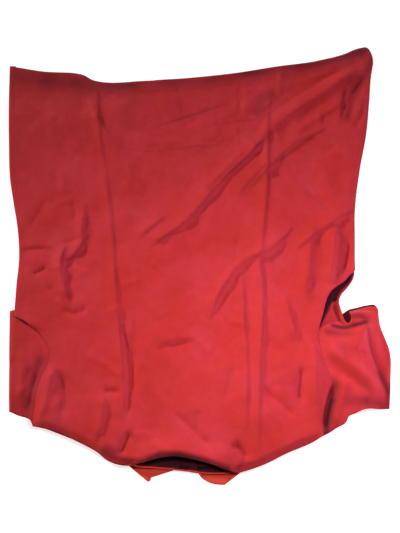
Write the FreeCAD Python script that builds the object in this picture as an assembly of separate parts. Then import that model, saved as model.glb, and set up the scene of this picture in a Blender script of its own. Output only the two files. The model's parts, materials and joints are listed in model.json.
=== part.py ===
import FreeCAD, Part
import math
import os

# A superhero cape with a cropped shoulder yoke, lying flat with its outside up.
# Garment frame while modelling: x from the body's middle line, y from the line where the cape
# leaves the yoke (+y towards the hem), z from the surface that it lies on. Millimetres.
# At the end everything is moved so that the origin is at the bottom centre of its box.

# ---- driving dimensions ----
cloth = 1.2               # one ply of cloth with its slack
play = 0.5                # gap across each hinge line
body_gap = 7.0            # room between the front panels and the back of the yoke

fold_half = {"left": 250.0, "right": 241.0}     # half width where the cape leaves the yoke
hem_half = {"left": 280.5, "right": 286.0}      # half width at the hem corners
hem_drop = {"left": 341.0, "right": 378.0}      # fold line to hem corner
side_bow = {"left": 7.0, "right": -5.0}         # how far the side edge bows outwards
hem_sag = 36.0            # how far the hem curves in between its corners
hem_corner_radius = 12.0
ramp_length = 42.0        # where the cape comes down from the yoke to the surface
bottom_hem_depth = 20.0
side_hem_width = 8.0
thread_width = 0.8
thread_height = 0.4
thread_inset = 3.0        # stitch row to the inner edge of the hem

yoke_half = 205.0         # half width at the yoke's free edge
yoke_edge_inset = 6.0     # yoke's free edge to the fold line
yoke_hem_width = 16.0
neck_half = 76.0
neck_drop = 288.0         # fold line to the neck corners
neck_scoop = 21.0         # depth of the back neckline
shoulder_half = 220.0
shoulder_drop = 228.0     # fold line to the shoulder points
armhole_half = {"left": 200.0, "right": 189.0}  # half width at the narrowest of the armhole edges
armhole_drop = {"left": 125.0, "right": 92.0}   # fold line to that narrowest place
underarm_half = {"left": 245.0, "right": 233.0}  # half width where the armhole edges end
underarm_drop = {"left": 24.0, "right": 14.0}
tape_width = 3.0          # tape inside each shoulder fold
binding_width = 7.0
label_width = 28.0
label_length = 40.0

wing_line = 232.0         # half width at the lines where the cap sleeves fold
wing_top = 54.0           # fold line to each cap sleeve's underarm edge
wing_length = 164.0
wing_reach = {"left": 27.0, "right": 56.0}
wing_crown = {"left": 14.0, "right": 20.0}      # height of the arch
wing_corner_radius = 16.0
wing_hem_width = 5.0

front_gap = 3.0           # opening down the centre front
front_lip = 289.0         # fold line to the front neckline
front_hem_line = 72.0     # fold line to the front panels' free edge
front_side_half = 200.0
front_armhole_half = 186.0
facing_width = 14.0

tab_root = {"left": (-74.0, -16.0), "right": (13.0, 72.0)}
tab_tip = {"left": (-60.0, -52.0), "right": (28.0, 51.0)}
tab_length = {"left": 17.0, "right": 24.0}
tab_corner_radius = {"left": 3.0, "right": 5.0}
patch_width = 20.0
patch_depth = 7.0
patch_height = 0.8
patch_inset = 2.0         # tab's fold line to the patch

# ---- heights of the layers ----
yoke_z = 2 * cloth + body_gap
binding_z = yoke_z + cloth
panel_z = binding_z + cloth
fold_z = panel_z + cloth
wing_z = yoke_z + cloth
sides = {"left": -1, "right": 1}
far = 1000.0


# ---- ways to make a piece ----
def vec(x, y, z=0.0):
    return FreeCAD.Vector(x, y, z)


def line(a, b):
    return Part.LineSegment(vec(*a), vec(*b)).toShape()


def arc(a, middle, b):
    return Part.Arc(vec(*a), vec(*middle), vec(*b)).toShape()


def plate(edges, z, height):
    """A flat piece with the outline `edges`, from z up to z + height."""
    face = Part.Face(Part.Wire(edges))
    face.translate(vec(0, 0, z))
    return face.extrude(vec(0, 0, height))


def outline(points):
    """Straight edges round a closed list of points."""
    return [line(a, b) for a, b in zip(points, points[1:] + points[:1])]


def block(x0, x1, y0, y1, z0, z1):
    low_x, low_y = min(x0, x1), min(y0, y1)
    return Part.makeBox(abs(x1 - x0), abs(y1 - y0), z1 - z0, vec(low_x, low_y, z0))


def rounded(solid, corners, radius):
    """Rounds the upright edges that stand nearest to the given corners."""
    upright = [e for e in solid.Edges if e.BoundBox.XLength + e.BoundBox.YLength < 0.01]
    chosen = []
    for x, y in corners:
        chosen.append(min(upright, key=lambda e: math.hypot(e.BoundBox.XMin - x, e.BoundBox.YMin - y)))
    return solid.makeFillet(radius, chosen)


def profile(points_xz, y0, y1):
    """A shape with a constant section in the XZ plane, from y0 to y1."""
    face = Part.Face(Part.makePolygon([vec(x, y0, z) for x, z in points_xz + points_xz[:1]]))
    return face.extrude(vec(0, y1 - y0, 0))


def band(edge_points, shift):
    """Outline of the strip between an arc and the same arc moved by `shift`."""
    moved = [(x + shift[0], y + shift[1]) for x, y in edge_points]
    return [
        arc(*edge_points),
        line(edge_points[2], moved[2]),
        arc(moved[2], moved[1], moved[0]),
        line(moved[0], edge_points[0]),
    ]


def middle_of(a, b, out):
    """Middle of a-b, moved by `out` square to it, to the right of the way from a to b."""
    dx, dy = b[0] - a[0], b[1] - a[1]
    length = math.hypot(dx, dy)
    return ((a[0] + b[0]) / 2 + out * dy / length, (a[1] + b[1]) / 2 - out * dx / length)


# ---- outlines shared by several pieces ----
neck = {s: (d * neck_half, -neck_drop) for s, d in sides.items()}
shoulder = {s: (d * shoulder_half, -shoulder_drop) for s, d in sides.items()}
armhole = {s: (d * armhole_half[s], -armhole_drop[s]) for s, d in sides.items()}
underarm = {s: (d * underarm_half[s], -underarm_drop[s]) for s, d in sides.items()}
fold_end = {s: (d * fold_half[s], 0.0) for s, d in sides.items()}
hem_corner = {s: (d * hem_half[s], hem_drop[s]) for s, d in sides.items()}
neck_middle = (0.0, -neck_drop + neck_scoop)

hem_edge = [hem_corner["left"], middle_of(hem_corner["left"], hem_corner["right"], hem_sag),
            hem_corner["right"]]
side_edge = {s: [fold_end[s], middle_of(fold_end[s], hem_corner[s], d * side_bow[s]), hem_corner[s]]
             for s, d in sides.items()}
armhole_edge = {s: [shoulder[s], armhole[s], underarm[s]] for s in sides}


def cape_prism(z, height):
    """The lower cape's outline, from the fold line to the hem."""
    left, right = side_edge["left"], side_edge["right"]
    edges = [arc(*left), arc(*hem_edge), arc(right[2], right[1], right[0]), line(right[0], left[0])]
    return rounded(plate(edges, z, height), [hem_corner["right"]], hem_corner_radius)


def upper_prism(z, height):
    """The cape's upper part, over the yoke: neckline, shoulders, armhole edges and fold line."""
    left, right = armhole_edge["left"], armhole_edge["right"]
    edges = [
        arc(neck["left"], neck_middle, neck["right"]),
        line(neck["right"], right[0]),
        arc(*right),
        line(right[2], fold_end["right"]),
        line(fold_end["right"], fold_end["left"]),
        line(fold_end["left"], left[2]),
        arc(left[2], left[1], left[0]),
        line(left[0], neck["left"]),
    ]
    return plate(edges, z, height)


def yoke_prism(z, height):
    """The yoke's back, out to the lines where the cap sleeves fold."""
    edge_y = -yoke_edge_inset
    wing_end = wing_top + wing_length
    right_side = [shoulder["right"], (wing_line, -wing_end), (wing_line, -wing_top), (yoke_half, edge_y)]
    left_side = [(-x, y) for x, y in reversed(right_side)]
    run = [neck["right"]] + right_side + left_side + [neck["left"]]
    edges = [arc(neck["left"], neck_middle, neck["right"])]
    edges += [line(a, b) for a, b in zip(run, run[1:])]
    return plate(edges, z, height)


def beside_shoulder(side, inner, outer, z, height):
    """A strip along a shoulder edge, between two distances inside that edge."""
    d = sides[side]
    (nx, ny), (sx, sy) = neck[side], shoulder[side]
    length = math.hypot(sx - nx, sy - ny)
    inward = ((ny - sy) / length * d, (sx - nx) / length * d)
    ends = [(nx, ny), (sx, sy)]
    near = [(x + inward[0] * inner, y + inward[1] * inner) for x, y in ends]
    away = [(x + inward[0] * outer, y + inward[1] * outer) for x, y in reversed(ends)]
    return plate(outline(near + away), z, height)


def shoulder_half_plane(side, inner):
    """Everything further than `inner` inside a shoulder edge, for cutting to."""
    d = sides[side]
    (nx, ny), (sx, sy) = neck[side], shoulder[side]
    length = math.hypot(sx - nx, sy - ny)
    along = ((sx - nx) / length, (sy - ny) / length)
    inward = (-along[1] * d, along[0] * d)
    base = (nx + inward[0] * inner, ny + inward[1] * inner)
    corners = [(-far, 0.0), (far, 0.0), (far, far), (-far, far)]
    points = [(base[0] + along[0] * u + inward[0] * v, base[1] + along[1] * u + inward[1] * v)
              for u, v in corners]
    return plate(outline(points), -far / 2, far)


nodes = {}


# ---- the cape's upper part and the yoke ----
def make_yoke():
    nodes["cape_panel_upper"] = upper_prism(panel_z, cloth)
    nodes["back_yoke"] = yoke_prism(yoke_z, cloth)
    neck_edge = [neck["left"], neck_middle, neck["right"]]
    nodes["neck_binding"] = plate(band(neck_edge, (0, binding_width)), binding_z, cloth)
    hem_y = -yoke_edge_inset
    nodes["yoke_hem"] = block(-yoke_half, yoke_half, hem_y - yoke_hem_width, hem_y, 0, yoke_z)
    label_y = -neck_drop + neck_scoop + binding_width
    nodes["care_label"] = block(-label_width / 2, label_width / 2, label_y, label_y + label_length,
                                yoke_z - cloth, yoke_z)
    for side, d in sides.items():
        nodes["shoulder_tape_" + side] = beside_shoulder(side, 0, tape_width, 0, yoke_z)
        strip = plate(band(armhole_edge[side], (-d * binding_width, 0)), binding_z, cloth)
        strip = strip.common(upper_prism(binding_z, cloth)).common(yoke_prism(binding_z, cloth))
        nodes["armhole_binding_" + side] = strip.cut(nodes["neck_binding"])


# ---- the hanging cape ----
def make_cape():
    reach = max(hem_drop.values()) + 1
    low, high = cloth, 2 * cloth
    section = [(play, panel_z), (play, fold_z), (ramp_length, high), (reach, high), (reach, low),
               (ramp_length - cloth, low)]
    points = [vec(-far, y, z) for y, z in section]
    drape = Part.Face(Part.makePolygon(points + points[:1])).extrude(vec(2 * far, 0, 0))
    nodes["cape_panel_lower"] = drape.common(cape_prism(0, fold_z))

    whole = cape_prism(0, cloth)
    bottom = plate(band(hem_edge, (0, -bottom_hem_depth)), 0, cloth)
    nodes["bottom_hem"] = bottom.common(whole)
    for side, d in sides.items():
        strip = plate(band(side_edge[side], (-d * side_hem_width, 0)), 0, cloth).common(whole)
        strip = strip.cut(bottom)
        nodes["side_hem_" + side] = strip.cut(block(-far, far, -far, ramp_length, -1, fold_z))

    row = -bottom_hem_depth + thread_inset
    row_edge = [(x, y + row) for x, y in hem_edge]
    thread = plate(band(row_edge, (0, -thread_width)), high, thread_height)
    nodes["hem_stitching"] = thread.common(cape_prism(high, thread_height))


# ---- the cap sleeves ----
def make_wing(side):
    d = sides[side]
    reach = wing_reach[side]
    end = reach - wing_hem_width
    crown = wing_crown[side]
    crown_place = 0.45 * end
    y0, y1 = -wing_top - wing_length, -wing_top

    def at(u, z):
        return vec(d * (wing_line + u), y0, z)

    edges = [
        Part.Arc(at(play, wing_z), at(crown_place, crown), at(end, 2 * cloth)).toShape(),
        Part.LineSegment(at(end, 2 * cloth), at(end, 0)).toShape(),
        Part.LineSegment(at(end, 0), at(end - 2 * cloth, 0)).toShape(),
        Part.Arc(at(end - 2 * cloth, 0), at(crown_place, crown - cloth), at(play, wing_z - cloth)).toShape(),
        Part.LineSegment(at(play, wing_z - cloth), at(play, wing_z)).toShape(),
    ]
    arch = Part.Face(Part.Wire(edges)).extrude(vec(0, y1 - y0, 0))
    outer = d * (wing_line + reach)
    plan = block(d * wing_line, outer, y0, y1, -1, 2 * crown)
    plan = rounded(plan, [(outer, y0), (outer, y1)], wing_corner_radius)
    nodes["wing_" + side] = arch.common(plan)
    hem = block(d * (wing_line + end), outer, y0, y1, 0, 2 * cloth)
    nodes["wing_hem_" + side] = hem.common(plan)


# ---- the front panels and the closure tabs ----
def make_front(side):
    d = sides[side]
    centre = d * front_gap / 2
    lip, free = -front_lip, -front_hem_line
    corner = (d * front_side_half, free)
    armhole_middle = (d * front_armhole_half, (free - shoulder_drop) / 2)
    edges = [
        line((centre, lip), (centre, free)),
        line((centre, free), corner),
        arc(corner, armhole_middle, shoulder[side]),
        line(shoulder[side], neck[side]),
        line(neck[side], (d * neck_half, lip)),
        line((d * neck_half, lip), (centre, lip)),
    ]
    inside = shoulder_half_plane(side, tape_width + play)

    def ply(z):
        return plate(edges, z, cloth).common(inside)

    nodes["front_panel_" + side] = ply(0)
    facing = block(centre, centre + d * facing_width, lip, free, cloth, 2 * cloth)
    nodes["front_facing_" + side] = facing.common(ply(cloth))
    turned = block(centre + d * facing_width, d * far, free - facing_width, free, cloth, 2 * cloth)
    nodes["front_hem_" + side] = turned.common(ply(cloth))


def make_tab(side):
    (r0, r1), (t0, t1) = tab_root[side], tab_tip[side]
    root_y = -front_lip - play
    tip_y = root_y - tab_length[side]
    ply = plate(outline([(r0, root_y), (t0, tip_y), (t1, tip_y), (r1, root_y)]), patch_height, cloth)
    nodes["neck_tab_" + side] = rounded(ply, [(t0, tip_y), (t1, tip_y)], tab_corner_radius[side])
    middle = (r0 + r1 + t0 + t1) / 4
    patch_y = root_y - patch_inset
    patch = block(middle - patch_width / 2, middle + patch_width / 2, patch_y - patch_depth, patch_y,
                  0, patch_height)
    nodes[{"left": "hook_patch", "right": "loop_patch"}[side]] = patch


make_yoke()
make_cape()
for side in sides:
    make_wing(side)
    make_front(side)
    make_tab(side)

# ---- origin at the bottom centre of the whole box, then one file per piece ----
box = FreeCAD.BoundBox()
for shape in nodes.values():
    box.add(shape.optimalBoundingBox(False, False))
shift = vec(-box.Center.x, -box.Center.y, -box.ZMin)

os.makedirs("parts", exist_ok=True)
for name, shape in nodes.items():
    solid = shape.Solids[0] if len(shape.Solids) == 1 else Part.makeCompound(shape.Solids)
    solid.translate(shift)
    solid.exportStep("parts/" + name + ".step")
    size = solid.optimalBoundingBox(False, False)
    print("%-22s solids %d valid %s  x %.1f..%.1f  y %.1f..%.1f  z %.1f..%.1f" % (
        name, len(shape.Solids), solid.isValid(), size.XMin, size.XMax, size.YMin, size.YMax,
        size.ZMin, size.ZMax))
print("moved by", [round(v, 3) for v in shift], "size", [round(v, 1) for v in (
    box.XLength, box.YLength, box.ZLength)])
print("fold lines: cape y %.2f z %.2f, cap sleeves x %.2f and %.2f z %.2f, tabs y %.2f z %.2f" % (
    shift.y, fold_z, shift.x - wing_line, shift.x + wing_line, wing_z, shift.y - front_lip,
    patch_height + cloth))
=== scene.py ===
import json
import math

import bmesh
import bpy
import numpy as np
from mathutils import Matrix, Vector, geometry


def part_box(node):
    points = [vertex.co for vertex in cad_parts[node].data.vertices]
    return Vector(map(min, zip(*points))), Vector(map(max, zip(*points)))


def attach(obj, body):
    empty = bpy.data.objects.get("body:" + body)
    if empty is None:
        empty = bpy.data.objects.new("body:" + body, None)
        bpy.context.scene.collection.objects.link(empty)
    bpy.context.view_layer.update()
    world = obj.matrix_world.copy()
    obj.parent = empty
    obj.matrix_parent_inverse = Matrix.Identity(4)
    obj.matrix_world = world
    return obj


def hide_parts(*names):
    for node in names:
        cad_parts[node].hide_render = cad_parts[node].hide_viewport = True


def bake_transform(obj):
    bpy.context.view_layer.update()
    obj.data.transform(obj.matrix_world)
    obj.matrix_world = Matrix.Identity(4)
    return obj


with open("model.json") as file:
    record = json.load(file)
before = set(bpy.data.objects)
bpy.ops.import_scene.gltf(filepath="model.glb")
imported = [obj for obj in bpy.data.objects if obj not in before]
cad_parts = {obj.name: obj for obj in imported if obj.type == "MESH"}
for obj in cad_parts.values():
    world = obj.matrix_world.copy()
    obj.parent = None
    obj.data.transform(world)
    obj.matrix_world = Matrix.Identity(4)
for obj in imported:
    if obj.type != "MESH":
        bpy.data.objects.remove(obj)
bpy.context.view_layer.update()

# A superhero cape with a cropped shoulder yoke, laid flat with its outside up.
# Outlines, folds, heights and cloth sizes are in millimetres in the frame's axes.

MM = 0.001
SIDES = {"left": -1, "right": 1}

# ---- the cloth ----
PLY = 0.8                 # thickness of one ply, millimetres
CAPE_STEP = 2.75          # mesh spacing of the big sheet
SMALL_STEP = 2.6          # mesh spacing of the smaller sheets
FRONT_STEP = 3.4          # mesh spacing of the hidden fronts
TAB_STEP = 1.6            # mesh spacing of the neck tabs

# ---- widths of the narrow bands, millimetres ----
HEM_DEPTH = 22.0
SIDE_HEM_WIDTH = 9.0
YOKE_HEM_WIDTH = 14
WING_HEM_WIDTH = 6
FRONT_HEM_WIDTH = 13
FACING_WIDTH = 14
TAPE_WIDTH = 6
BINDING_WIDTH = 7.0
NECK_LIP_WIDTH = 1.9
HEM_START = -0.6          # a turned hem begins this far past the cloth's edge
BINDING_START = -0.4
FRONT_START = -0.5
TAPE_START = -2.0

# ---- heights above the surface that the cape lies on, millimetres ----
YOKE_HEIGHT = 9.0
OVER_YOKE = 12.4          # cape where it lies on the yoke
ON_SURFACE = 1.9          # cape where it lies on the surface
FRONT_HEIGHT = 1.3
SEAM_STEP = 0.15          # cape over sleeve where the two are sewn together
UNDER_CAPE = 1.4          # the yoke stays at least this far below the cape
UNDER_CAPE_WING = 1.1     # and a sleeve this far
PLY_GAP = 1.0             # between a cloth and the band turned under or laid over it

PAINTED_SHADE_COLOUR = (0.040, 0.003, 0.011, 1.0)     # painted shade: the colour the cloth is painted where it lies in the deepest shade


# =====================================================================
# Shader maths
# =====================================================================
class Wire:
    """A shader socket that grows Math nodes from +, - and *."""

    def __init__(self, shader, socket):
        self.shader = shader
        self.socket = socket

    def _math(self, operation, first, second=None):
        values = {0: first} if second is None else {0: first, 1: second}
        return self.shader.node("ShaderNodeMath", {"operation": operation}, values)

    def __add__(self, other):
        return self._math("ADD", self, other)

    __radd__ = __add__

    def __sub__(self, other):
        return self._math("SUBTRACT", self, other)

    def __rsub__(self, other):
        return self._math("SUBTRACT", other, self)

    def __mul__(self, other):
        return self._math("MULTIPLY", self, other)

    __rmul__ = __mul__

    def clamped(self):
        return self._math("MINIMUM", self._math("MAXIMUM", self, 0.0), 1.0)


class Shader:
    """One material and its nodes."""

    def __init__(self, name):
        self.material = bpy.data.materials.new(name)
        self.material.use_nodes = True
        self.tree = self.material.node_tree
        self.surface = self.tree.nodes["Principled BSDF"]

    def node(self, kind, settings=None, values=None, output=0):
        made = self.tree.nodes.new(kind)
        for key, value in (settings or {}).items():
            if key == "stops":
                for stop, (place, colour) in zip(made.color_ramp.elements, value):
                    stop.position = place
                    stop.color = colour
            else:
                setattr(made, key, value)
        for key, value in (values or {}).items():
            if isinstance(value, Wire):
                self.tree.links.new(value.socket, made.inputs[key])
            else:
                made.inputs[key].default_value = value
        return Wire(self, made.outputs[output])

    def object_place(self):
        return self.node("ShaderNodeTexCoord", output="Object")

    def attribute(self, name):
        return self.node("ShaderNodeAttribute", {"attribute_name": name}, output="Fac")

    def noise(self, place, scale, detail, roughness):
        values = {"Vector": place, "Scale": scale, "Detail": detail, "Roughness": roughness}
        return self.node("ShaderNodeTexNoise", {}, values, "Fac")

    def mix(self, factor, first, second):
        settings = {"data_type": "RGBA"}
        return self.node("ShaderNodeMix", settings, {0: factor, 6: first, 7: second}, 2)

    def bump(self, height, distance, strength):
        values = {"Height": height, "Distance": distance, "Strength": strength}
        return self.node("ShaderNodeBump", {}, values)

    def set(self, **values):
        """Feed the surface's inputs, named with _ for a space."""
        for key, value in values.items():
            socket = self.surface.inputs[key.replace("_", " ")]
            if isinstance(value, Wire):
                self.tree.links.new(value.socket, socket)
            else:
                socket.default_value = value
        return self.material


def cape_cloth_material(name, lit, mottle_and_sheen_pink, sheen=0.16):
    """Soft matt jersey, mottled pink at random, with pink painted on as sheen where it faces +X; the `shade`
    attribute carries painted shade.
    """
    s = Shader(name)
    place = s.object_place()
    broad = s.noise(place, 13.0, 3.0, 0.55)
    cloudy = s.noise(place, 75.0, 4.0, 0.6)
    # painted sheen: the colour turns pinker the more the surface faces +X; the noise adds random pink mottle
    normal = s.node("ShaderNodeTexCoord", output="Normal")
    painted_sheen_side = s.node("ShaderNodeSeparateXYZ", {}, {"Vector": normal}, "X")
    mottle_and_painted_sheen = painted_sheen_side * 0.5 + (broad - 0.5) * 1.3 + (cloudy - 0.5) * 0.5 + 0.35
    hue = s.mix(mottle_and_painted_sheen.clamped(), lit, mottle_and_sheen_pink)
    worn = (0.5 - cloudy) * 0.5 + (0.5 - broad) * 0.5 + 0.12
    base = s.mix(worn.clamped(), hue, tuple(c * 0.62 for c in lit[:3]) + (1.0,))
    # painted shade: the `shade` attribute darkens the colour towards the painted shade colour
    colour = s.mix(s.attribute("shade").clamped(), base, PAINTED_SHADE_COLOUR)
    ribs_x = s.node("ShaderNodeTexWave", {"bands_direction": "X"},
                    {"Vector": place, "Scale": 420.0, "Distortion": 1.2, "Detail": 1.0}, "Fac")
    ribs_y = s.node("ShaderNodeTexWave", {"bands_direction": "Y"},
                    {"Vector": place, "Scale": 300.0, "Distortion": 1.2, "Detail": 1.0}, "Fac")
    crumple = s.noise(place, 55.0, 6.0, 0.62)
    weave = s.bump(ribs_x * 0.5 + ribs_y * 0.5, 0.00008, 0.6)
    relief = s.node("ShaderNodeBump", {}, {"Height": crumple, "Distance": 0.0018, "Strength": 0.45,
                                           "Normal": weave})
    s.set(Base_Color=colour, Roughness=0.78 + (cloudy - 0.5) * 0.2, Normal=relief)
    return s.set(Sheen_Weight=sheen, Sheen_Roughness=0.5, Sheen_Tint=(1.0, 0.55, 0.68, 1.0),
                 Specular_IOR_Level=0.14)


def thread_material(name, colour):
    """Twisted polyester sewing thread."""
    s = Shader(name)
    twist = s.node("ShaderNodeTexWave", {"bands_direction": "DIAGONAL"},
                   {"Vector": s.object_place(), "Scale": 900.0, "Distortion": 0.5}, "Fac")
    tone = s.mix(twist, colour, tuple(c * 0.6 for c in colour[:3]) + (1.0,))
    return s.set(Base_Color=tone, Roughness=0.42, Normal=s.bump(twist, 0.0001, 0.5))


def nap_material(name, colour, grain):
    """Hook or loop tape: a dense nap of tiny nylon hooks or loops."""
    s = Shader(name)
    nap = s.node("ShaderNodeTexVoronoi", {}, {"Vector": s.object_place(), "Scale": grain}, "Distance")
    tone = s.mix((nap * 1.6).clamped(), colour, tuple(c * 0.35 for c in colour[:3]) + (1.0,))
    return s.set(Base_Color=tone, Roughness=0.7, Normal=s.bump(nap, 0.0006, 0.9))


def label_material(name):
    """White woven ribbon with fine cross ribs."""
    s = Shader(name)
    place = s.object_place()
    ribs = s.node("ShaderNodeTexWave", {"bands_direction": "Y"}, {"Vector": place, "Scale": 500.0}, "Fac")
    tone = s.mix(ribs, (0.78, 0.77, 0.75, 1.0), (0.66, 0.65, 0.63, 1.0))
    return s.set(Base_Color=tone, Roughness=0.5, Normal=s.bump(ribs, 0.0001, 0.5))


MATERIAL = {
    "cape": cape_cloth_material("red_jersey", (0.60, 0.024, 0.020, 1.0), (0.62, 0.042, 0.066, 1.0)),
    "binding": cape_cloth_material("red_binding", (0.50, 0.018, 0.016, 1.0), (0.52, 0.030, 0.045, 1.0)),
    "tab": cape_cloth_material("orange_red_twill", (0.82, 0.058, 0.030, 1.0),
                               (0.80, 0.062, 0.044, 1.0), 0.08),
    # painted shade: the pieces inside and under the cape get a darker copy of the red jersey for the shade
    # they lie in
    "inside": cape_cloth_material("red_inside_painted_shade", (0.40, 0.014, 0.014, 1.0),
                                  (0.40, 0.024, 0.036, 1.0), 0.08),
    "thread": thread_material("red_thread", (0.46, 0.016, 0.016, 1.0)),
    "hook": nap_material("hook_tape", (0.30, 0.016, 0.018, 1.0), 900.0),
    "loop": nap_material("loop_tape", (0.36, 0.020, 0.022, 1.0), 1500.0),
    "label": label_material("label_ribbon"),
}


# =====================================================================
# Lines and outlines, in millimetres
# =====================================================================
def smooth_line(points, step):
    """Points every `step` along a smooth line through `points`."""
    p = np.array(points, float)
    gaps = np.linalg.norm(np.diff(p, axis=0), axis=1)
    along = np.concatenate([[0.0], np.cumsum(gaps)])
    slope = np.diff(p, axis=0) / gaps[:, None]
    tangent = np.empty_like(p)
    if len(p) == 2:
        tangent[:] = slope[0]
    else:
        total = (gaps[:-1] + gaps[1:])[:, None]
        tangent[1:-1] = (slope[:-1] * gaps[1:, None] + slope[1:] * gaps[:-1, None]) / total
        tangent[0] = 1.5 * slope[0] - 0.5 * tangent[1]
        tangent[-1] = 1.5 * slope[-1] - 0.5 * tangent[-2]
    count = max(int(round(along[-1] / step)), 1)
    where = np.linspace(0.0, along[-1], count + 1)
    i = np.clip(np.searchsorted(along, where, side="right") - 1, 0, len(gaps) - 1)
    h = gaps[i][:, None]
    u = ((where - along[i]) / gaps[i])[:, None]
    return ((2 * u**3 - 3 * u**2 + 1) * p[i] + (u**3 - 2 * u**2 + u) * h * tangent[i]
            + (3 * u**2 - 2 * u**3) * p[i + 1] + (u**3 - u**2) * h * tangent[i + 1])


def closed_outline(runs, step):
    """A closed outline of smooth runs that meet at corners."""
    return np.concatenate([smooth_line(run, step)[:-1] for run in runs])


def inside_outline(x, y, ring):
    """Which points lie inside a closed ring."""
    within = np.zeros(x.shape, bool)
    for (x0, y0), (x1, y1) in zip(ring, np.roll(ring, -1, axis=0)):
        crossing = (y0 > y) != (y1 > y)
        if crossing.any():
            edge_x = x0 + (y - y0) * (x1 - x0) / (y1 - y0 if y1 != y0 else 1e-9)
            within ^= crossing & (x < edge_x)
    return within


def to_line(x, y, line):
    """Distance to a line, which side of it (+ on its left), and how far along it, from 0 to 1."""
    best = np.full(x.shape, 1e9)
    side = np.zeros(x.shape)
    place = np.zeros(x.shape)
    gaps = np.linalg.norm(np.diff(line, axis=0), axis=1)
    along = np.concatenate([[0.0], np.cumsum(gaps)])
    for k, (a, b) in enumerate(zip(line[:-1], line[1:])):
        dx, dy = b - a
        u = np.clip(((x - a[0]) * dx + (y - a[1]) * dy) / (dx * dx + dy * dy), 0, 1)
        ox, oy = x - a[0] - u * dx, y - a[1] - u * dy
        d = np.hypot(ox, oy)
        closer = d < best
        best = np.where(closer, d, best)
        side = np.where(closer, np.sign(dx * oy - dy * ox), side)
        place = np.where(closer, (along[k] + u * gaps[k]) / along[-1], place)
    return best, side, place


def rise(t):
    """0 to 1 with level ends."""
    t = np.clip(t, 0, 1)
    return t * t * (3 - 2 * t)


def soft_noise(x, y, size, seed):
    """Smooth noise from -1 to 1 whose lumps are about `size` across."""
    table = np.random.RandomState(seed).uniform(-1, 1, (64, 64))
    u, v = x / size + 31.7, y / size + 17.3
    i, j = np.floor(u).astype(int), np.floor(v).astype(int)
    fu, fv = rise(u - i), rise(v - j)
    i0, i1, j0, j1 = i % 64, (i + 1) % 64, j % 64, (j + 1) % 64
    low = table[i0, j0] * (1 - fu) + table[i1, j0] * fu
    high = table[i0, j1] * (1 - fu) + table[i1, j1] * fu
    return low * (1 - fv) + high * fv


END_SHARE = 0.22          # a fold rises and dies over this share of its length
CREASED = 1.5             # sharpness of the cape's folds; 2 is a round swelling


def folds(x, y, table, sharpness=2.0):
    """Sum of ridges and valleys: (line, height, width on its left, width on its right)."""
    z = np.zeros(x.shape)
    for points, height, left, right in table:
        line = smooth_line(points, 6.0)
        reach = 3.2 * max(left, right)
        low, high = line.min(axis=0) - reach, line.max(axis=0) + reach
        reached = (x > low[0]) & (x < high[0]) & (y > low[1]) & (y < high[1])
        d, side, t = to_line(x[reached], y[reached], line)
        width = np.where(side > 0, left, right)
        fade = np.minimum(rise(t / END_SHARE), rise((1 - t) / END_SHARE)) * 0.85 + 0.15
        ends = np.exp(-(np.where((t <= 0) | (t >= 1), d, 0) / (0.6 * max(left, right))) ** 2)
        z[reached] += height * fade * ends * np.exp(-(np.abs(d) / width) ** sharpness)
    return z


def bumps(x, y, table):
    """Sum of round swellings: (centre x, centre y, height, radius)."""
    z = np.zeros(x.shape)
    for cx, cy, height, radius in table:
        z += height * np.exp(-((x - cx) ** 2 + (y - cy) ** 2) / radius**2)
    return z


# =====================================================================
# The outlines of the sheets
# =====================================================================
HEM = [(-284, 310), (-231, 300), (-181, 297), (-171, 295), (-153, 285), (-145, 283), (-75, 284), (12, 291),
       (68, 298), (130, 309), (199, 320), (237, 331), (260, 341), (272, 342.5), (280, 328), (281, 313)]
RIGHT_SIDE = [(281, 313), (277, 292), (272, 246), (265, 192), (253, 134), (243, 70), (240, 10), (238, -31)]
RIGHT_ARMHOLE = [(238, -31), (232, -37), (222, -48), (207, -59), (199, -68), (194, -80), (189, -98),
                 (182, -124), (185, -155), (194, -186), (199, -204), (191, -224), (186, -248), (184, -276)]
RIGHT_SHOULDER = [(184, -276), (168, -285), (135, -299), (93, -319), (64, -328)]
NECK_EDGE = [(64, -328), (50, -325), (31, -318), (3, -310), (-21, -306), (-45, -308), (-62, -313),
             (-84, -318)]
LEFT_SHOULDER = [(-84, -318), (-98, -317), (-117, -310), (-131, -299), (-157, -285), (-201, -267),
                 (-223, -262)]
LEFT_ARMHOLE = [(-223, -262), (-221, -235), (-214, -195), (-204, -172), (-202, -159), (-207, -145),
                (-216, -131), (-228, -120), (-242, -109), (-256, -103)]
LEFT_SIDE = [(-256, -103), (-255, -60), (-254, -6), (-259, 40), (-267, 80), (-274, 118), (-279, 180),
             (-283, 260), (-284, 310)]
CAPE_RUNS = [HEM, RIGHT_SIDE, RIGHT_ARMHOLE, RIGHT_SHOULDER,
             NECK_EDGE, LEFT_SHOULDER, LEFT_ARMHOLE, LEFT_SIDE]
HEM_BAND_LINE = [(-278, 309)] + HEM[1:-3]     # clear of both corners

YOKE_HEM_LINE = [(-190, -40), (0, -38), (180, -38)]
YOKE_RUNS = [
    YOKE_HEM_LINE,
    [(180, -38), (172, -120), (172, -200), (174, -269)],
    [(174, -269), (135, -290), (72, -319)],
    [(72, -319), (50, -321), (31, -314), (3, -306), (-21, -302), (-45, -304), (-62, -309), (-84, -314)],
    [(-84, -314), (-150, -284), (-194, -264)],
    [(-194, -264), (-184, -150), (-190, -40)],
]
FLAP_RIM = [(237, -24), (237, -33), (234, -45), (226, -57), (216, -69), (213, -79), (215, -89), (218, -99),
            (221, -107), (225, -111.5), (228.5, -109), (229.5, -103), (228.5, -97), (227, -94)]
WING_TOP = {
    "right": [(227, -94), (234, -92), (246, -88), (261, -85), (268, -86), (270, -93)],
    "left": [(-263, -92), (-236, -92)],
}
WING_SIDE = {
    "right": [(270, -93), (271, -112), (277, -130), (283, -149), (282.5, -195), (279, -236)],
    "left": [(-256, -242), (-260, -165), (-263, -92)],
}
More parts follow.
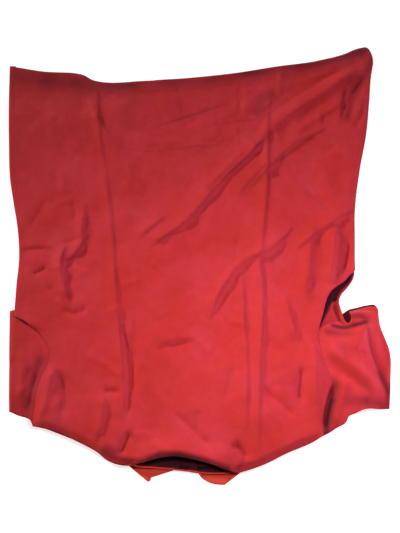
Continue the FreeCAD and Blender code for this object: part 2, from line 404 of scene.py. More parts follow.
WING_RUNS = {
    "right": [
        [(188, -34), (212, -25), (237, -24)],
        FLAP_RIM,
        WING_TOP["right"],
        WING_SIDE["right"],
        [(279, -236), (264, -236.5), (246, -238), (228, -246), (220, -249.5), (217, -256), (214, -260)],
        [(214, -260), (200, -267), (180, -277)],
        [(180, -277), (176, -200), (168, -120), (174, -60), (188, -34)],
    ],
    "left": [
        [(-208, -264), (-223, -260), (-226, -254), (-244, -247), (-256, -242)],
        WING_SIDE["left"],
        WING_TOP["left"],
        [(-236, -92), (-208, -110), (-190, -140), (-188, -165), (-196, -205), (-204, -240), (-208, -264)],
    ],
}
LINING_RUNS = {
    "right": [
        [(205, -108), (212, -100), (219, -95), (226, -90), (240, -86), (254, -82.5), (265, -82), (268, -85)],
        [(268, -85), (262, -130), (262, -180), (258, -222)],
        [(258, -222), (222, -236)],
        [(222, -236), (208, -180), (205, -108)],
    ],
    "left": [
        [(-236, -96), (-222, -160), (-232, -244)],
        [(-232, -244), (-252, -238)],
        [(-252, -238), (-258, -96)],
        [(-258, -96), (-236, -96)],
    ],
}
LIP = {
    "left": [(-88, -316), (-74, -319), (-49, -320.5), (-22, -323), (8, -326.5)],
    "right": [(-2, -325.5), (9, -327), (37, -328.5), (66, -326)],
}
FRONT_EDGE = {"left": [(8, -326.5), (7, -102)], "right": [(-2, -102), (-2, -325.5)]}
FACING_LINE = {"left": [(8, -320), (7, -104)], "right": [(-2, -104), (-2, -320)]}
FRONT_HEM = {"left": [(7, -102), (-202, -102)], "right": [(195, -102), (-2, -102)]}
FRONT_RUNS = {
    "left": [
        LIP["left"], FRONT_EDGE["left"], FRONT_HEM["left"],
        [(-202, -102), (-191, -180), (-219, -260)],
        [(-219, -260), (-150, -287), (-88, -316)],
    ],
    "right": [
        LIP["right"],
        [(66, -326), (135, -297), (190, -272)],
        [(190, -272), (204, -263), (180, -180), (195, -102)],
        FRONT_HEM["right"], FRONT_EDGE["right"],
    ],
}
TAB_RUNS = {
    "left": [
        [(-88, -310), (-88, -316)],
        [(-88, -316), (-63, -336.5)],
        [(-63, -336.5), (-60, -338.5), (-57, -337), (-56, -333)],
        [(-56, -333), (-22, -322)],
        [(-22, -322), (-20, -309)],
        [(-20, -309), (-88, -310)],
    ],
    "right": [
        [(9, -310), (9, -326)],
        [(9, -326), (15, -334), (24, -339.5), (36, -342.5), (46, -343)],
        [(46, -343), (68, -326)],
        [(68, -326), (70, -312)],
        [(70, -312), (9, -310)],
    ],
}


# =====================================================================
# Heights of the sheets
# =====================================================================
CAPE_FOLDS = [
    # ridges and valleys: (line, height, width on its left, width on its right)
    # the long ridge from the hem corner towards the middle
    ([(272, 308), (228, 284), (197, 260), (165, 239), (134, 214), (100, 184)], 5.2, 11, 20),
    ([(120, 198), (92, 166), (48, 121), (8, 70), (-12, 45)], 4.4, 3.8, 16),
    ([(8, 66), (-12, 45), (-32, 30), (-60, 10)], 3.2, 3.8, 12),
    ([(92, 170), (72, 151), (48, 125), (24, 102)], -2.0, 3.6, 3.6),
    # the valley along its upper side
    ([(246, 308), (196, 284), (152, 260), (118, 233), (92, 204)], -3.2, 10, 5),
    # its neighbours
    ([(200, 204), (157, 172), (116, 138), (75, 92)], 2.8, 4, 13),
    ([(182, 188), (157, 175), (142, 161), (127, 148)], -1.6, 5, 3.6),
    ([(111, 140), (93, 118), (72, 92)], -2.2, 5, 3.6),
    ([(252, 262), (200, 226), (150, 190)], 2.2, 5, 9),
    ([(46, 246), (-13, 224), (-74, 203)], -3.4, 10, 3.8),
    ([(97, 221), (64, 217), (32, 212)], -2.4, 8, 3.8),
    ([(72, 194), (16, 172)], -2.6, 8, 3.8),
    ([(268, 292), (246, 256), (236, 212)], -4.0, 7, 4),
    ([(238, 272), (229, 215)], -2.8, 5, 4),
    ([(267, 250), (256, 215), (244, 202)], -2.0, 6, 4),
    ([(146, 37), (104, -4), (86, -11), (43, -60), (22, -112)], 3.8, 4, 12),
    ([(237, 67), (205, 45), (157, 7)], 4.0, 4, 10),
    ([(152, 132), (179, 101), (212, 60)], -3.0, 8, 5),
    ([(106, 212), (132, 176), (160, 140)], -1.0, 8, 6),
    # packing creases
    ([(118, 262), (115, 184), (112, 110), (102, 14), (99, -22), (101, -56), (96, -185), (92, -296)],
     2.6, 3.6, 9),
    ([(74, 281), (73, 176)], -1.8, 5, 3.6),
    ([(72, -20), (74, -100), (77, -177), (76, -262)], 2.2, 3.6, 8),
    ([(-43, 56), (-60, 40), (-78, 23)], 2.2, 3.8, 9),
    ([(-148, 276), (-145, 225), (-138, 162)], 2.0, 3.6, 7),
    ([(-138, 172), (-128, 104), (-119, 31), (-112, -50), (-103, -141), (-94, -224), (-85, -279)],
     2.4, 3.6, 9),
    ([(-158, 262), (-143, 212), (-128, 189), (-110, 177)], 2.4, 6, 8),
    ([(-110, 174), (-76, 168), (-30, 171), (24, 178)], -2.4, 3.8, 8),
    ([(-49, -146), (-20, -142), (2, -136)], -2.4, 3.8, 8),
    ([(-126, -212), (-100, -214)], -2.0, 4, 6),
    # small folds at the left
    ([(-160, 70), (-163, 36), (-163, 12), (-172, -4), (-186, -14)], 3.4, 3.6, 10),
    ([(-188, 6), (-192, -14), (-190, -39), (-185, -58), (-178, -80)], 4.0, 4, 9),
    ([(-255, 2), (-228, 4), (-198, 2)], -2.4, 3.8, 9),
    ([(-234, -36), (-220, -31), (-212, -24)], -2.2, 4, 6),
    ([(-189, -90), (-168, -98), (-150, -86)], -2.0, 5, 6),
    # lower middle
    ([(-100, -116), (-95, -142), (-91, -265)], -2.6, 6, 3.8),
    ([(-86, -112), (-82, -228)], -2.2, 7, 3.8),
    ([(132, -64), (141, -102), (150, -140)], 3.0, 4, 9),
    ([(180, -136), (174, -186), (176, -240)], 3.2, 5, 11),
    ([(155, -176), (150, -228)], -3.0, 8, 4),
    ([(-124, -215), (-128, -263), (-134, -282)], 2.6, 4, 8),
    ([(-26, -242), (0, -268), (28, -295)], -2.4, 7, 5),
    ([(100, -208), (146, -250)], -2.6, 7, 6),
    ([(57, -289), (68, -293), (74, -302), (73, -309)], -3.0, 5, 5),
    ([(-86, -270), (-92, -284), (-100, -304)], -3.0, 6, 4),
    ([(-56, -283), (-44, -296), (-42, -306)], 1.8, 6, 7),
    ([(214, 46), (207, -10), (199, -56)], 4.6, 5, 12),
    ([(234, 30), (226, -6), (220, -36)], -2.6, 5, 5),
    ([(178, 34), (170, -20), (162, -76)], 3.4, 7, 10),
    # beside the left armhole edge
    ([(-194, -170), (-199, -192), (-203, -213), (-208, -236), (-216, -260)], 2.6, 6, 9),
    ([(-191, -184), (-182, -202), (-179, -225), (-184, -252)], -2.4, 9, 7),
    # beside the right armhole edge
    ([(172, -128), (176, -160), (184, -200), (180, -262)], 2.4, 6, 9),
]
# round swellings: (centre x, centre y, height, radius)
CAPE_BUMPS = [(-8, -44, 1.8, 12), (-205, 215, 2.5, 40), (-110, 230, 2.6, 26), (150, 60, 1.6, 40),
              (46, -300, 2.4, 15), (-170, -90, 1.6, 22), (30, -190, 1.5, 45), (-66, -296, 2.0, 12)]
CAPE_PAINTED_SHADE = [
    # soft lines of painted shade along the hem, the folds and the neck edge: (line, width, depth)
    ([(266, 338), (240, 328), (200, 317), (130, 306), (60, 295)], 12, 0.68),
    ([(60, 294), (-20, 285), (-75, 280), (-140, 277)], 14, 0.52),
    ([(-150, 278), (-200, 284), (-284, 296)], 22, 0.46),
    ([(131, 309), (129, 296)], 5, 0.45),
    ([(280, 322), (268, 294), (248, 258), (238, 220)], 6, 0.48),
    ([(245, 286), (234, 250), (229, 222)], 4, 0.30),
    ([(124, 262), (106, 250), (99, 232)], 9, 0.30),
    ([(118, 226), (112, 190), (96, 168), (60, 136), (24, 100)], 3.2, 0.30),
    ([(111, 140), (93, 118), (72, 92)], 3.2, 0.26),
    ([(182, 188), (157, 175), (127, 148)], 3.2, 0.26),
    ([(116, 204), (115, 136), (112, 80)], 2.6, 0.26),
    ([(104, 19), (106, -60), (98, -180), (95, -292)], 2.4, 0.14),
    ([(221, 34), (221, -6), (216, -42)], 6, 0.20),
    ([(184, 34), (180, -20), (172, -78)], 8, 0.22),
    ([(-157, 62), (-157, 4), (-173, -14), (-183, -30), (-182, -50), (-176, -78)], 2.8, 0.22),
    ([(-192, -184), (-184, -200), (-180, -225), (-188, -256)], 6, 0.22),
    ([(-124, -299), (-110, -305), (-85, -311), (-62, -313)], 3.6, 0.50),
    ([(-118, -296), (-108, -300)], 7, 0.50),
    ([(-92, -290), (-99, -300)], 4.5, 0.35),
    ([(-60, -312), (-45, -307), (-21, -305), (3, -309), (31, -317), (50, -323)], 4.4, 0.9),
    ([(50, -322), (64, -322), (71, -311), (74, -301), (67, -294), (58, -290)], 3.2, 0.34),
]
# the cap sleeves' folds and their lines of painted shade, each laid out as the cape's
SLEEVE_FOLDS = {
    "right": [
        ([(205, -116), (217, -119), (233, -117), (252, -112)], -5.0, 5, 6),
        ([(231, -100), (250, -104)], -4.5, 6, 6),
        ([(229, -94), (244, -91), (262, -88)], 2.0, 5, 5),
        ([(254, -104), (243, -130), (229, -158)], 5.0, 7, 9),
        ([(190, -140), (212, -165), (231, -180), (250, -196), (268, -216)], 6.5, 9, 10),
        ([(196, -160), (214, -182), (236, -204), (250, -222)], -3.0, 8, 8),
        ([(253, -122), (258, -157), (266, -178), (278, -214)], -4.6, 6, 5),
        ([(200, -196), (199, -214), (195, -228), (190, -250), (188, -274)], -6.0, 6, 7),
        ([(218, -190), (213, -210), (207, -230), (203, -250), (202, -268)], 5.6, 8, 6),
        ([(188, -124), (212, -129), (236, -123)], -3.4, 6, 7),
        ([(236, -232), (262, -230), (280, -226)], -4.0, 7, 7),
        ([(204, -80), (207, -91), (212, -102), (219, -113)], -2.4, 3.5, 3.5),
    ],
    "left": [
        ([(-212, -158), (-219, -182), (-225, -205), (-229, -230), (-231, -256)], -3.6, 6, 12),
        ([(-246, -150), (-236, -196), (-242, -228)], 3.0, 8, 8),
        ([(-258, -160), (-250, -180), (-236, -212)], -3.0, 6, 8),
        ([(-228, -135), (-222, -160), (-228, -190)], 2.2, 7, 8),
    ],
}
SLEEVE_PAINTED_SHADE = {
    "right": [
        ([(203, -115), (217, -118), (233, -116), (250, -112)], 3.4, 0.85),
        ([(233, -103), (246, -104), (251, -107)], 4.6, 0.60),
        ([(206, -84), (208, -93), (212, -102), (219, -112)], 1.8, 0.55),
        ([(253, -122), (258, -157), (266, -178), (278, -214)], 3.0, 0.45),
        ([(202, -204), (198, -226), (192, -250), (188, -276)], 8.5, 0.62),
        ([(199, -224), (192, -250), (188, -276)], 6.0, 0.88),
        ([(268, -184), (277, -206), (282, -224)], 6.0, 0.62),
        ([(284, -204), (281, -240)], 9, 0.60),
        ([(222, -228), (250, -228), (276, -232)], 9, 0.36),
        ([(196, -126), (226, -129)], 6, 0.26),
        ([(214, -150), (222, -165)], 7, 0.20),
    ],
    "left": [
        ([(-253, -101), (-245, -107), (-236, -113)], 2.4, 1.0),
        ([(-214, -168), (-218, -186), (-223, -206), (-226, -230), (-230, -254)], 9, 0.34),
        ([(-232, -180), (-238, -205), (-234, -225)], 5, 0.26),
        ([(-262, -100), (-262, -240)], 9, 0.22),
    ],
}
# the opening between the cape's edge and the right sleeve, where no light reaches; painted shade fills it
ARMPIT_GAP = [(240, -33), (232, -36), (222, -46), (206, -57), (198, -68), (192, -80), (182, -118),
              (184, -120), (191, -104), (198, -91), (203, -79), (210, -77), (213, -68), (219, -59),
              (228, -51), (235, -41)]
SHOULDER_LINE = {side: [(d * 218 - 4, -257.5), (d * 76 - 4, -317.5)] for side, d in SIDES.items()}


def light_creases(count, seed):
    """Short faint creases scattered over the cape, as cloth keeps from lying folded."""
    draw = np.random.RandomState(seed)
    table = []
    for _ in range(count):
        x, y = draw.uniform(-235, 235), draw.uniform(-280, 290)
        angle = draw.choice([1.45, 2.45, 1.7, 0.15]) + draw.normal(0, 0.25)
        half = draw.uniform(12, 34)
        dx, dy = half * math.cos(angle), half * math.sin(angle)
        bend = draw.uniform(-5, 5)
        line = [(x - dx, y - dy), (x + bend, y - bend), (x + dx, y + dy)]
        table.append((line, draw.uniform(1.0, 2.2) * draw.choice([-1, 1]), draw.uniform(3.5, 6),
                      draw.uniform(5, 10)))
    return table


CAPE_CREASES = light_creases(64, 12)
CAPE_LINES = {id(run): smooth_line(run, 6.0) for run in CAPE_RUNS}
CAPE_RING = closed_outline(CAPE_RUNS, 5.0)
GAP_RING = np.array(ARMPIT_GAP, float)


def edge_distance(x, y, run):
    """Distance to one of the runs of the cape's outline."""
    return to_line(x, y, CAPE_LINES[id(run)])[0]


def neckline(x, y):
    """Distance to the neck edge, and 0 at both its ends rising to 1 at its middle."""
    distance, _, t = to_line(x, y, CAPE_LINES[id(NECK_EDGE)])
    return distance, np.sin(np.pi * np.clip(t, 0, 1))


def near(distance, width):
    """1 at a line, falling softly to 0 at about twice `width` from it."""
    return np.exp(-((distance / width) ** 2))


def painted_shade_lines(x, y, table):
    """How deep each point lies in painted shade, from soft lines of it."""
    shade = np.zeros(x.shape)
    for points, width, depth in table:
        shade = np.maximum(shade, depth * near(to_line(x, y, smooth_line(points, 5))[0], width))
    return shade


def sleeve_height(side, x, y):
    """The cap sleeve and, on the right, the loose flap of the yoke at its armpit."""
    if side == "right":
        z = 11.2 + 6.5 * near(x - 236, 24) - 9.4 * rise((x - 245) / 38)
        z -= 3.5 * rise((-y - 205) / 50) * rise((x - 214) / 30)
        z -= 6.0 * near(to_line(x, y, smooth_line(WING_TOP["right"], 4))[0], 5.0)
        flap = rise((y + 120) / 14) * (1 - rise((x - 226) / 6) * rise((-y - 90) / 8))
        rim = to_line(x, y, smooth_line(FLAP_RIM, 3))[0]
        z = z + flap * (5.2 + 3.6 * near(rim, 4.0) - z)
    else:
        out = -x - 206
        z = 11.0 + 2.2 * rise((out - 12) / 34) - 7.0 * rise((out - 46) / 14)
        z -= 2.5 * rise((-y - 215) / 40)
    z = z + folds(x, y, SLEEVE_FOLDS[side]) + 0.7 * soft_noise(x, y, 30, 7)
    return np.maximum(z, 3.0)


def cape_height(x, y):
    """The big sheet: high over the yoke, low on the surface, with all its folds."""
    lying = rise((y + 75) / 205)
    z = OVER_YOKE + (ON_SURFACE - OVER_YOKE) * lying
    edge = np.minimum(edge_distance(x, y, RIGHT_SIDE), edge_distance(x, y, LEFT_SIDE))
    z -= 0.5 * (z - ON_SURFACE) * (1 - rise(edge / 40)) * rise((y + 60) / 60)
    calm = rise(edge / 14) * 0.7 + 0.3
    strength = 1.25 + 0.5 * rise((80 - y) / 140)
    relief = strength * folds(x, y, CAPE_FOLDS, CREASED) + folds(x, y, CAPE_CREASES, CREASED)
    relief = relief + bumps(x, y, CAPE_BUMPS)
    relief += 1.6 * soft_noise(x, y, 75, 1) + 1.2 * soft_noise(x + y, y - x, 42, 2)
    relief += 0.5 * soft_noise(x + 0.6 * y, 0.6 * x - y, 21, 3) + 0.15 * soft_noise(x, y, 11, 4)
    z += relief * calm
    hem = edge_distance(x, y, HEM)
    z += 0.6 * (1 - rise((hem - HEM_DEPTH + 5) / 12))
    for run in (RIGHT_SHOULDER, LEFT_SHOULDER):
        z -= 5.5 * near(edge_distance(x, y, run), 6.0)
    # the back neckline stands up in a low arch, and its edge rolls in
    neck, arch = neckline(x, y)
    z += arch * (8.5 * near(neck, 24) - 5.5 * near(neck, 3.6))
    # the cape lies close on the sleeves, but its edge stands up at the armpits
    arm = edge_distance(x, y, RIGHT_ARMHOLE)
    open_part = rise((y + 132) / 16)
    z += 3.4 * open_part * rise((y + 132) / 60) * near(arm, 16)
    close = near(arm, 10) * (1 - open_part)
    z += close * (sleeve_height("right", x, y) + SEAM_STEP - z)
    arm = edge_distance(x, y, LEFT_ARMHOLE)
    slit = rise((y + 126) / 14)
    close = near(arm, 9) * (1 - slit)
    z += close * (sleeve_height("left", x, y) + SEAM_STEP - z)
    z += 2.4 * slit * near(arm, 9)
    return np.maximum(z, 1.1 + 1.2 * near(hem, HEM_DEPTH))


def crease_shade_lines(table):
    """A thin line of painted shade along the steep side of every fold of a table."""
    lines = []
    for points, height, left, right in table:
        offset = 2.6 if (left < right) == (height > 0) else -2.6
        if abs(height) >= 2.0 and min(left, right) < 4.2:
            lines.append((beside(points, offset), 2.1, min(0.36, 0.085 * abs(height))))
    return lines


def cape_shade(x, y):
    """How dark the cape is painted in its folds, broken up so that no line is even."""
    broken = 0.86 + 0.28 * soft_noise(x, y, 26, 21)
    uneven = np.clip(0.6 + 0.9 * soft_noise(x, y, 34, 22), 0, 1.3)
    fine = painted_shade_lines(x, y, crease_shade_lines(CAPE_FOLDS)) * uneven
    return np.maximum(painted_shade_lines(x, y, CAPE_PAINTED_SHADE) * broken, fine)


def yoke_height(x, y):
    """The yoke, arched at the neck as the cape is and always below it."""
    neck, arch = neckline(x, y)
    z = YOKE_HEIGHT + 0.5 * soft_noise(x, y, 60, 5)
    z += 7.5 * arch * near(neck, 24)
    return np.minimum(z, cape_height(x, y) - UNDER_CAPE)


def wing_height(side):
    """The sleeve, pressed below the cape wherever the cape covers it."""
    def height(x, y):
        z = sleeve_height(side, x, y)
        under = inside_outline(x, y, CAPE_RING)
        below = np.minimum(z, cape_height(x, y) - UNDER_CAPE_WING)
        return np.maximum(np.where(under, below, z), 0.9)
    return height


def wing_shade(side):
    """Painted shade in the sleeve's creases and, on the right, in the armpit opening."""
    def shade(x, y):
        depth = painted_shade_lines(x, y, SLEEVE_PAINTED_SHADE[side])
        if side == "right":
            inside = inside_outline(x, y, GAP_RING)
            d = to_line(x, y, np.concatenate([GAP_RING, GAP_RING[:1]]))[0]
            depth = np.maximum(depth, rise(0.5 + np.where(inside, d, -d) / 3.0))
        return depth
    return shade


def lining_height(x, y):
    """The lining lies flat and lifts a little in the right sleeve's mouth."""
    return 1.1 + 0.3 * soft_noise(x, y, 30, 9) + 3.0 * rise((y + 112) / 20) * rise((x - 100) / 50)


def lining_shade(x, y):
    """Painted shade over the whole lining, deeper towards the armpit."""
    return 0.30 + 0.55 * rise((y + 132) / 24)


def front_height(side):
    """A front panel on the surface, up at the shoulder fold; the left one overlaps the right."""
    edge_line = smooth_line(SHOULDER_LINE[side], 6)

    def height(x, y):
        at_shoulder = near(to_line(x, y, edge_line)[0], 4.5)
        z = FRONT_HEIGHT + 0.35 * soft_noise(x, y, 50, 11)
        z += 1.5 * rise((-y - 300) / 16) * (1 - at_shoulder) + 6.5 * at_shoulder
        if side == "left":
            z += 1.6 * rise((x + 8) / 6)
        return z
    return height


def front_shade(side):
    """Painted shade just inside the neck opening, and back to plain cloth farther in."""
    lip = smooth_line(LIP[side], 4)

    def shade(x, y):
        inward = to_line(x, y, lip)[0]
        return 0.97 * rise((inward - 1.0) / 2.0) * (1 - rise((inward - 26) / 22))
    return shade


def tab_height(x, y):
    """The neck tabs lie flat on the surface."""
    return 1.5 + 0.25 * soft_noise(x, y, 12, 13)


# =====================================================================
# Ways to make a piece
# =====================================================================
def show(mesh, name, material):
    """An object of this mesh in the scene, at the origin."""
    obj = bpy.data.objects.new(name, mesh)
    bpy.context.scene.collection.objects.link(obj)
    mesh.materials.append(material)
    return obj


def ply_thickness(obj):
    """Give a sheet the thickness of one ply, half on each side."""
    solid = obj.modifiers.new("ply", "SOLIDIFY")
    solid.thickness = PLY * MM
    solid.offset = 0.0
    return obj


def store_shade(mesh, shade, x, y):
    """Write the `shade` attribute; a piece without a shade function has it at 0."""
    stored = mesh.attributes.new("shade", "FLOAT", "POINT")
    if shade is not None:
        stored.data.foreach_set("value", shade(x, y).astype(np.float32))


def cloth(name, runs, height, material, step=SMALL_STEP, shade=None):
    """A sheet of cloth with the given outline, lying at `height` over the surface."""
    ring = closed_outline(runs, step * 0.9)
    low, high = ring.min(axis=0), ring.max(axis=0)
    row = step * math.sqrt(3) / 2
    rows = np.arange(low[1], high[1], row)
    columns = np.arange(low[0], high[0], step)
    gx = np.concatenate([columns + (step / 2 if k % 2 else 0) for k in range(len(rows))])
    gy = np.repeat(rows, len(columns))
    keep = inside_outline(gx, gy, ring)
    gx, gy = gx[keep], gy[keep]
    clear = to_line(gx, gy, np.concatenate([ring, ring[:1]]))[0] > 0.55 * step
    points = np.concatenate([ring, np.stack([gx[clear], gy[clear]], axis=1)])
    count = len(ring)
    edges = [(k, (k + 1) % count) for k in range(count)]
    made = geometry.delaunay_2d_cdt([Vector(p) for p in points], edges, [], 1, 1e-4)
    flat = np.array([v[:] for v in made[0]])
    x, y = flat[:, 0], flat[:, 1]
    z = height(x, y)
    mesh = bpy.data.meshes.new(name)
    mesh.from_pydata(np.stack([x, y, z], axis=1) * MM, [], made[2])
    store_shade(mesh, shade, x, y)
    tidy = bmesh.new()
    tidy.from_mesh(mesh)
    bmesh.ops.recalc_face_normals(tidy, faces=tidy.faces)
    if sum(f.normal.z for f in tidy.faces) < 0:
        bmesh.ops.reverse_faces(tidy, faces=tidy.faces)
    tidy.to_mesh(mesh)
    tidy.free()
    mesh.shade_smooth()
    return ply_thickness(show(mesh, name, material))


def beside(line, offset):
    """The line moved `offset` to its left."""
    step = np.gradient(line, axis=0)
    step /= np.linalg.norm(step, axis=1)[:, None]
    return line + offset * np.stack([-step[:, 1], step[:, 0]], axis=1)


def band(name, points, width, height, material, start=0.0, shade=None):
    """A narrow band of cloth from `start` to `width` on the left of a line; a minus width is its right."""
    line = smooth_line(points, 3.0)
    rows = [beside(line, offset) for offset in np.linspace(start, width, 4)]
    flat = np.concatenate(rows)
    z = height(flat[:, 0], flat[:, 1])
    count = len(line)
    faces = []
    for r in range(len(rows) - 1):
        for k in range(count - 1):
            corner = r * count + k
            face = (corner, corner + 1, corner + count + 1, corner + count)
            faces.append(face if width > start else face[::-1])
    mesh = bpy.data.meshes.new(name)
    mesh.from_pydata(np.column_stack([flat, z]) * MM, [], faces)
    store_shade(mesh, shade, flat[:, 0], flat[:, 1])
    mesh.shade_smooth()
    return ply_thickness(show(mesh, name, material))


def stitches(name, lines, height, pitch=3.4, length=2.3, radius=0.22):
    """Rows of machine stitches standing just proud of the cloth: (line, offset to its left)."""
    points, faces = [], []
    for run, offset in lines:
        line = beside(smooth_line(run, pitch), offset)
        middle = (line[:-1] + line[1:]) / 2
        along = line[1:] - line[:-1]
        along /= np.linalg.norm(along, axis=1)[:, None]
        for (x, y), (ax, ay) in zip(middle, along):
            base = len(points)
            for reach, size in ((-0.5, 0.0), (-0.28, 1.0), (0.28, 1.0), (0.5, 0.0)):
                cx, cy = x + reach * length * ax, y + reach * length * ay
                if size == 0.0:
                    points.append((cx, cy, -0.15))
                    continue
                for across, up in ((1, 0), (0, 1), (-1, 0), (0, -1)):
                    points.append((cx - ay * across * radius, cy + ax * across * radius, up * radius))
            for q in range(4):
                a, b = base + 1 + q, base + 1 + (q + 1) % 4
                faces += [(base, b, a), (a, b, b + 4, a + 4), (a + 4, b + 4, base + 9)]
    flat = np.array(points)
    lift = height(flat[:, 0], flat[:, 1]) + PLY / 2 + radius * 0.2
    mesh = bpy.data.meshes.new(name)
    mesh.from_pydata(np.column_stack([flat[:, :2], flat[:, 2] + lift]) * MM, [], faces)
    mesh.shade_smooth()
    return show(mesh, name, MATERIAL["thread"])


def sewn_patch(name, node, material, lift=0.0):
    """A small woven patch with softened edges, filling its node's box."""
    low, high = (Vector(corner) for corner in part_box(node))
    bpy.ops.object.select_all(action="DESELECT")
    bpy.ops.mesh.primitive_cube_add(size=1.0, location=(low + high) / 2 + Vector((0, 0, lift)))
    patch = bpy.context.object
    patch.name = patch.data.name = name
    bpy.ops.object.mode_set(mode="EDIT")
    bpy.ops.mesh.select_all(action="SELECT")
    bpy.ops.transform.resize(value=high - low)
    bpy.ops.mesh.bevel(offset=0.0003, segments=2)
    bpy.ops.mesh.select_all(action="DESELECT")
    bpy.ops.object.mode_set(mode="OBJECT")
    bpy.ops.object.transform_apply(location=True, rotation=True, scale=True)
    patch.data.materials.append(material)
    bpy.ops.object.select_all(action="DESELECT")
    return patch


def lowered(height, drop):
    """The same surface lower by `drop`, but never below the ground."""
    return lambda x, y: np.maximum(height(x, y) - drop, 0.45)


# =====================================================================
# The camera, lights and floor
# =====================================================================
def make_camera():
    """Looks down along +Y at the middle of the cape."""
    elevation, distance = math.radians(70), 1.9
    target = Vector((0.0118, -0.0210, 0.0))
    back = Vector((0, -math.cos(elevation), math.sin(elevation)))
    data = bpy.data.cameras.new("camera")
    camera = bpy.data.objects.new("camera", data)
    bpy.context.scene.collection.objects.link(camera)
    camera.location = target + back * distance
    camera.rotation_mode = "QUATERNION"
    camera.rotation_quaternion = (-back).to_track_quat("-Z", "Y")
    data.sensor_width = 36
    data.lens = 87.3
    bpy.context.scene.camera = camera


def area_light(name, place, aim, size, power, colour=(1, 1, 1)):
    data = bpy.data.lights.new(name, "AREA")
    data.shape = "DISK"
    data.size, data.energy, data.color = size, power, colour
    add_light(name, data, place, aim)


def sun_light(name, place, softness, strength):
    data = bpy.data.lights.new(name, "SUN")
    data.angle, data.energy = math.radians(softness), strength
    add_light(name, data, place, (0, 0, 0))


def add_light(name, data, place, aim):
    obj = bpy.data.objects.new(name, data)
    bpy.context.scene.collection.objects.link(obj)
    obj.location = place
    obj.rotation_mode = "QUATERNION"
    obj.rotation_quaternion = (Vector(aim) - Vector(place)).to_track_quat("-Z", "Y")
    obj.visible_camera = False


def make_stage():
    area_light("low_lamp", (0.06, -0.17, 0.43), (0.04, -0.07, 0), 0.24, 1.38)
    area_light("side_lamp", (0.60, -0.15, 0.22), (0.26, -0.15, 0), 0.12, 1.4, (1.0, 0.76, 1.0))
    sun_light("window", (-1.0, 0.8, 0.47), 4, 2.75)
    world = bpy.data.worlds.new("pale_room")
    bpy.context.scene.world = world
    world.use_nodes = True
    background = world.node_tree.nodes["Background"].inputs
    background["Color"].default_value = (1.0, 1.0, 1.0, 1.0)
    background["Strength"].default_value = 0.035
    bpy.ops.mesh.primitive_plane_add(size=60.0, location=(0, 0, -0.0004))
    floor = bpy.context.object
    floor.name = "floor"
    s = Shader("pale_floor")
    floor.data.materials.append(s.set(Base_Color=(0.80, 0.80, 0.80, 1.0), Roughness=0.9,
                                      Emission_Color=(1.0, 1.0, 1.0, 1.0), Emission_Strength=0.75))
    bpy.context.scene.view_settings.view_transform = "Standard"


def with_cape(piece):
    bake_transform(piece)
    return piece


def with_yoke(piece):
    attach(piece, "yoke")
    return piece


def with_wing(piece, side):
    "wing_" + side
    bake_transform(piece)
    return piece


def with_front(piece, side):
    "front_" + side
    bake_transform(piece)
    return piece


def with_tab(piece, side):
    "front_" + side
    "tab_" + side
    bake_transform(piece)
    return piece


bpy.ops.object.select_all(action="DESELECT")
make_camera()
make_stage()

# ---- the cape, its hems and their stitches ----
cape = with_cape(cloth("cape_cloth", CAPE_RUNS, cape_height, MATERIAL["cape"], CAPE_STEP, cape_shade))
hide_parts("cape_panel_upper", "cape_panel_lower")
under_cape = lowered(cape_height, PLY_GAP)
hem = with_cape(band("cape_hem_ply", HEM_BAND_LINE, -HEM_DEPTH, under_cape, MATERIAL["inside"],
                     start=HEM_START))
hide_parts("bottom_hem")
for side, run in (("right", RIGHT_SIDE), ("left", LEFT_SIDE)):
    with_cape(band("cape_side_hem_" + side, run, -SIDE_HEM_WIDTH, under_cape,
                                     MATERIAL["inside"], start=HEM_START))
    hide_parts("side_hem_" + side)
hem_rows = [(HEM_BAND_LINE, 2.5 - HEM_DEPTH), (HEM_BAND_LINE, 5.0 - HEM_DEPTH)]
hem_rows += [(RIGHT_SIDE, -SIDE_HEM_WIDTH + 2.0), (LEFT_SIDE[4:], -SIDE_HEM_WIDTH + 2.0)]
hem_thread = with_cape(stitches("hem_stitching_rows", hem_rows, cape_height))
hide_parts("hem_stitching")
seam_rows = [(RIGHT_SHOULDER, -5.0), (LEFT_SHOULDER, -5.0), (NECK_EDGE, -8.0)]
seam_thread = with_cape(stitches("yoke_seam_stitching", seam_rows, cape_height))

# ---- the yoke ----
yoke = with_yoke(cloth("yoke_cloth", YOKE_RUNS, yoke_height, MATERIAL["inside"]))
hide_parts("back_yoke")
under_yoke = lowered(yoke_height, PLY_GAP)
yoke_hem = with_yoke(band("yoke_hem_ply", YOKE_HEM_LINE, -YOKE_HEM_WIDTH, under_yoke,
                          MATERIAL["inside"], start=HEM_START))
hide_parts("yoke_hem")
neck_binding = with_yoke(band("neck_binding_band", YOKE_RUNS[3], -BINDING_WIDTH, under_yoke,
                              MATERIAL["binding"], start=BINDING_START))
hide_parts("neck_binding")
yoke_rows = [(YOKE_HEM_LINE, -11.5), (YOKE_RUNS[3], -5.5)]
yoke_thread = with_yoke(stitches("yoke_stitching", yoke_rows, yoke_height))
for side, shoulder in (("right", YOKE_RUNS[2]), ("left", YOKE_RUNS[4])):
    tape = with_yoke(band("shoulder_tape_band_" + side, shoulder, -TAPE_WIDTH, under_yoke,
                          MATERIAL["binding"], start=TAPE_START))
    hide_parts("shoulder_tape_" + side)
label = with_yoke(sewn_patch("blank_care_label", "care_label", MATERIAL["label"], -0.0015))
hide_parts("care_label")

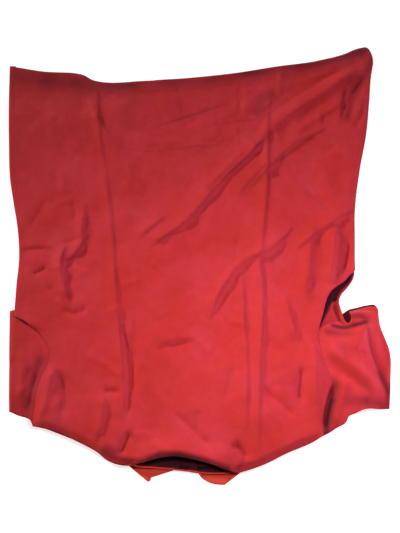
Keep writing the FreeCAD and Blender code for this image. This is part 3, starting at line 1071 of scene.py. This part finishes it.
# ---- the cap sleeves, with the cape's armhole bindings beside them ----
for side, armhole in (("right", RIGHT_ARMHOLE), ("left", LEFT_ARMHOLE)):
    wing = with_wing(cloth("wing_cloth_" + side, WING_RUNS[side], wing_height(side), MATERIAL["cape"],
                           shade=wing_shade(side)), side)
    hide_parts("wing_" + side)
    lining = with_wing(cloth("wing_lining_" + side, LINING_RUNS[side], lining_height, MATERIAL["inside"],
                             shade=lining_shade), side)
    under_wing = lowered(wing_height(side), PLY_GAP)
    wing_hem = with_wing(band("wing_hem_ply_" + side, WING_SIDE[side], -WING_HEM_WIDTH,
                              under_wing, MATERIAL["inside"], start=HEM_START), side)
    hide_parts("wing_hem_" + side)
    wing_thread = with_wing(stitches("wing_stitching_" + side, [(WING_SIDE[side], -5.0)],
                                     wing_height(side)), side)
    "wing_lining_" + side
    "front_cloth_" + side
    binding = with_cape(band("armhole_binding_band_" + side, armhole, -BINDING_WIDTH, under_cape,
                             MATERIAL["binding"], start=BINDING_START))
    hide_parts("armhole_binding_" + side)

# ---- the fronts and their neck tabs ----
for side in SIDES:
    front = with_front(cloth("front_cloth_" + side, FRONT_RUNS[side], front_height(side),
                             MATERIAL["inside"], FRONT_STEP, front_shade(side)), side)
    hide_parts("front_panel_" + side)
    over_front = lowered(front_height(side), -PLY_GAP)
    facing = with_front(band("front_facing_band_" + side, FACING_LINE[side], -FACING_WIDTH, over_front,
                             MATERIAL["inside"], start=FRONT_START, shade=front_shade(side)), side)
    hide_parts("front_facing_" + side)
    front_hem = with_front(band("front_hem_ply_" + side, FRONT_HEM[side], -FRONT_HEM_WIDTH, over_front,
                                MATERIAL["inside"], start=FRONT_START), side)
    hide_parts("front_hem_" + side)
    lip = with_front(band("front_neck_edge_" + side, LIP[side], NECK_LIP_WIDTH, over_front,
                          MATERIAL["tab"], start=BINDING_START), side)
    tab = with_tab(cloth("neck_tab_cloth_" + side, TAB_RUNS[side], tab_height, MATERIAL["tab"],
                         TAB_STEP), side)
    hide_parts("neck_tab_" + side)
    patch_node = {"left": "hook_patch", "right": "loop_patch"}[side]
    finish = {"left": "hook", "right": "loop"}[side]
    patch = with_tab(sewn_patch("tab_" + patch_node, patch_node, MATERIAL[finish]), side)
    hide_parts(patch_node)
